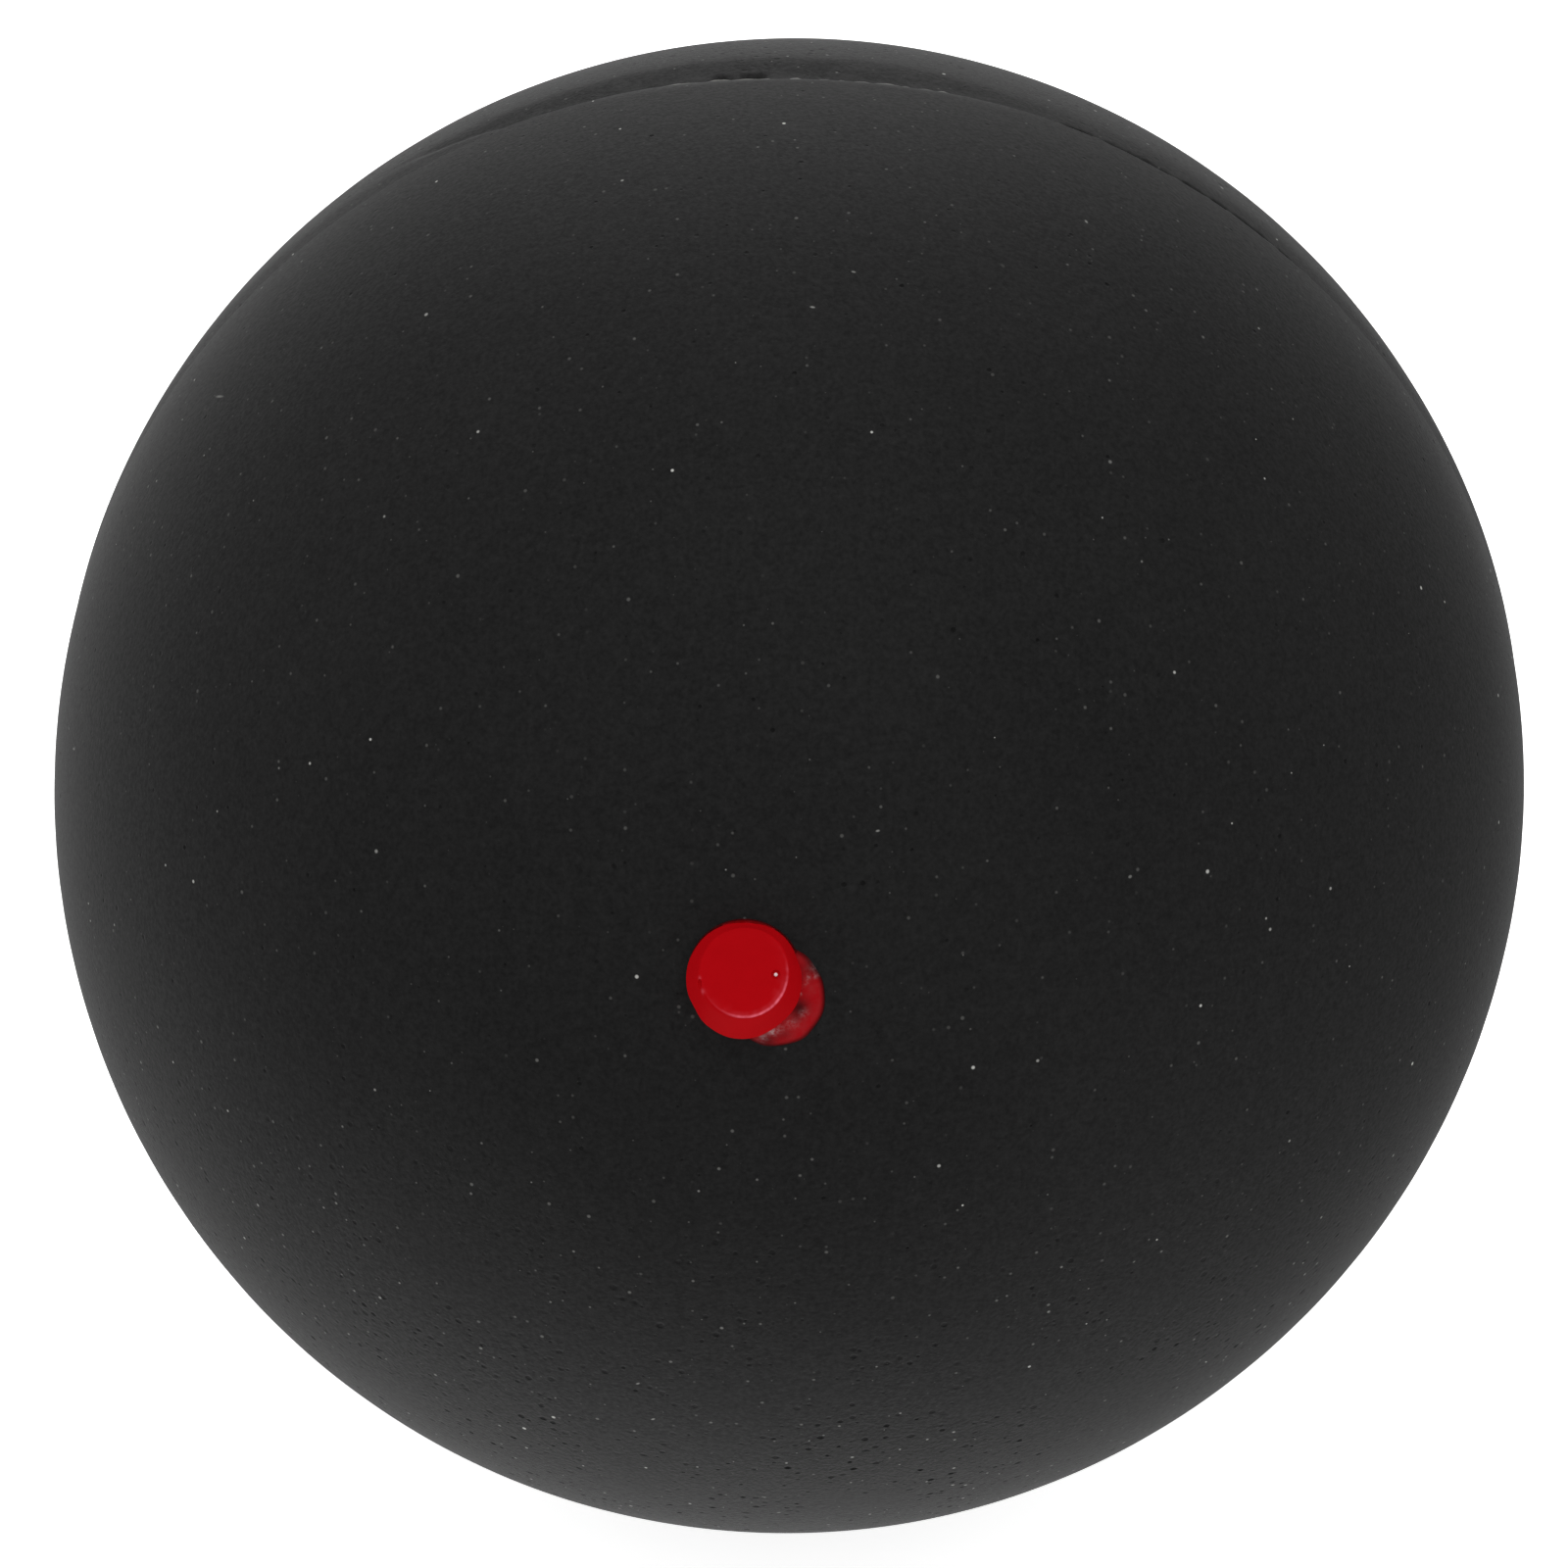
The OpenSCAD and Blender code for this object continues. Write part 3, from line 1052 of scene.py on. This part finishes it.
# Bonding rubber, brushed on as a solution: matt and lumpy, dulled by dust
bond_colour = "#ae0c16"
thin_colour = "#180506"
darkened_colour = "#2c1011"
haze_colour = "#8e6c6e"
bond_dust_colour = "#d0b4b6"
bond_roughness = 0.6
bond_ior = 1.15
bond_shine = 0.3
haze_mm = 0.25
haze_from, haze_to = 0.4, 0.8
haze_strength = 0.1
dust_mm = 0.09
dust_from, dust_to = 0.4, 0.65
dust_least, dust_most = 0.1, 0.9
lump_mm = 0.12
lump_depth = 0.012 * mm
bond_rubber = new_material("bonding_rubber")
place = add(bond_rubber, "ShaderNodeTexCoord").outputs["Object"]
dust, darkened, thin = (
    add(bond_rubber, "ShaderNodeAttribute", attribute_name=name).outputs["Fac"]
    for name in ("dust", "darkened", "thin")
)
haze = add(bond_rubber, "ShaderNodeTexNoise", {
    "Vector": place, "Scale": per_metre(haze_mm), "Detail": 5, "Roughness": 0.7})
hazy = add(bond_rubber, "ShaderNodeMapRange", {
    "Value": haze, "From Min": haze_from, "From Max": haze_to, "To Max": haze_strength})
fine = add(bond_rubber, "ShaderNodeTexNoise", {
    "Vector": place, "Scale": per_metre(dust_mm), "Detail": 3, "Roughness": 0.6})
dusty = add(bond_rubber, "ShaderNodeMapRange", {
    "Value": fine,
    "From Min": dust_from,
    "From Max": dust_to,
    "To Min": dust_least,
    "To Max": dust_most,
})
settled = add(bond_rubber, "ShaderNodeMath", {0: dust, 1: dusty}, operation="MULTIPLY")
dusted = layered(bond_rubber, bond_colour, (
    (hazy, haze_colour),
    (thin, thin_colour),
    (darkened, darkened_colour),
    (settled, bond_dust_colour),
))
lumps = add(bond_rubber, "ShaderNodeTexNoise", {
    "Vector": place, "Scale": per_metre(lump_mm), "Detail": 3})
lumpy = add(bond_rubber, "ShaderNodeBump", {"Height": lumps, "Distance": lump_depth})
surface = add(bond_rubber, "ShaderNodeBsdfPrincipled", {
    "Base Color": dusted,
    "Roughness": bond_roughness,
    "IOR": bond_ior,
    "Specular IOR Level": bond_shine,
    "Normal": lumpy,
})
add(bond_rubber, "ShaderNodeOutputMaterial", {"Surface": surface})
settle(bond)
plug_cutter = dot.copy()
plug_cutter.data = dot.data.copy()
bpy.context.collection.objects.link(plug_cutter)
cut_with(bond, plug_cutter)
finish_with(bond, bond_rubber)
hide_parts("dot_bond")
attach(bond, "root")

# The stage
# A plain pale floor that the ball rests on. It is left out of the ball's own light, so that the
# studio light alone sets how the rubber looks.
floor_size = 4
floor_colour = "#f2f2f2"
glow_colour = "#ffffff"
floor_glow = 0.85
bpy.ops.object.select_all(action="DESELECT")
bpy.ops.mesh.primitive_plane_add(size=floor_size, location=(0, 0, -rear_r))
floor = bpy.context.object
floor.name = "floor"
pale_floor = new_material("pale_floor")
surface = add(pale_floor, "ShaderNodeBsdfPrincipled", {
    "Base Color": linear(floor_colour),
    "Roughness": 1,
    "Emission Color": linear(glow_colour),
    "Emission Strength": floor_glow,
})
add(pale_floor, "ShaderNodeOutputMaterial", {"Surface": surface})
floor.data.materials.append(pale_floor)
floor.visible_diffuse = floor.visible_glossy = floor.visible_shadow = False

# The studio light
# One even tent of light with soft boxes beyond it. Each box has its direction from the ball, half
# the angle that it fills there, and its brightness on the tent's scale.
tent_light = 0.517
backdrop_light = 1
soft_boxes = (
    ("overhead", (-0.05, 0.73, 0.68), 20, 1.681),
    ("behind", (-0.01, 1, -0.01), 32, 0.397),
    ("behind_low", (-0.25, 0.77, -0.59), 45, 0.6),
    ("behind_left", (-0.41, 0.85, -0.33), 65, 0.238),
    ("from_below", (0.1, 0.05, -0.99), 20, 1.031),
    ("low_left", (-0.47, -0.04, -0.88), 20, 1.143),
    ("low_right", (0.61, -0.19, -0.77), 20, 1.058),
    ("front_top", (0.01, -0.45, 0.89), 45, 0.509),
)
soft_box_distance = 600 * mm
tent = bpy.data.worlds.new("tent")
tent.use_nodes = True
tent.node_tree.nodes.clear()
bpy.context.scene.world = tent
seen = add(tent, "ShaderNodeLightPath")
strength = add(tent, "ShaderNodeMapRange", {
    "Value": seen.outputs["Is Camera Ray"], "To Min": tent_light, "To Max": backdrop_light})
light = add(tent, "ShaderNodeBackground", {"Color": linear(glow_colour), "Strength": strength})
add(tent, "ShaderNodeOutputWorld", {"Surface": light})
for name, towards, half_angle, brightness in soft_boxes:
    towards = Vector(towards).normalized()
    bpy.ops.object.light_add(
        type="AREA",
        location=towards * soft_box_distance,
        rotation=towards.to_track_quat("Z", "Y").to_euler(),
    )
    soft_box = bpy.context.object
    soft_box.name = "soft_box_" + name
    soft_box.data.shape = "DISK"
    radius = soft_box_distance * math.tan(math.radians(half_angle))
    soft_box.data.size = 2 * radius
    soft_box.data.energy = brightness * math.pi * math.pi * radius ** 2
    soft_box.visible_camera = False

bpy.context.scene.view_settings.view_transform = "Standard"
